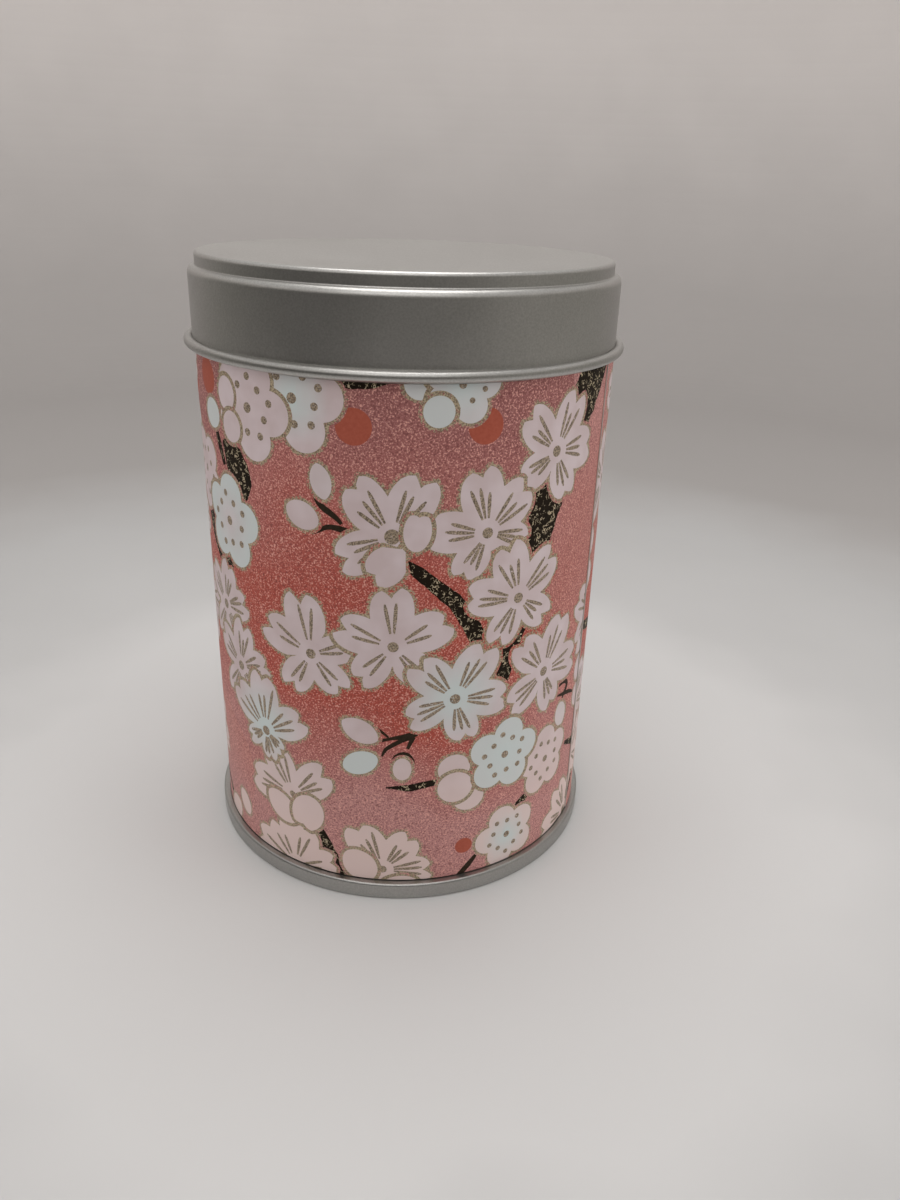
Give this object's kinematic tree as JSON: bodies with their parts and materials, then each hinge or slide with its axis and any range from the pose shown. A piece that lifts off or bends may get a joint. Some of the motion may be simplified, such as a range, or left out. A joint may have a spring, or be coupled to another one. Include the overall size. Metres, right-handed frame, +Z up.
{
  "type": "tea caddy",
  "caption": "Round tinplate tea caddy wrapped in flower-printed washi paper, with a slip-over outer lid over a plug-in inner lid with a knob.",
  "frame": {"origin": "on the table, under the middle of the can", "axes": "+Z up along the can's axis, +X to the right and -Y towards the viewer; the paper's lap is 20 degrees towards the viewer from +X"},
  "size_m": [0.0786, 0.0786, 0.1117],
  "materials": {
    "tinplate": "satin tinplate with a fine matt grain, clear lacquered",
    "washi_paper": "matt printed paper: pink and mint flowers with gold outlines on a vermilion to mauve ground",
    "black_plastic": "moulded, semi-gloss",
    "aluminium": "bright, as headed",
    "sealing_compound": "matt, hidden inside the double seam"
  },
  "bodies": {
    "can_body": {"body_shell": "tinplate", "base_end": "tinplate", "seam_compound": "sealing_compound", "washi_wrap": "washi_paper"},
    "inner_lid": {"inner_lid": "tinplate", "inner_lid_knob": "black_plastic", "knob_rivet": "aluminium", "knob_washer": "aluminium"},
    "outer_lid": {"outer_lid": "tinplate"}
  },
  "joints": [
    {"name": "inner_lid_lift", "type": "slide", "parent": "can_body", "child": "inner_lid", "axis": [0, 0, 1], "range_m": [0, 0.045]},
    {"name": "outer_lid_lift", "type": "slide", "parent": "inner_lid", "child": "outer_lid", "axis": [0, 0, 1], "range_m": [0, 0.06]}
  ]
}
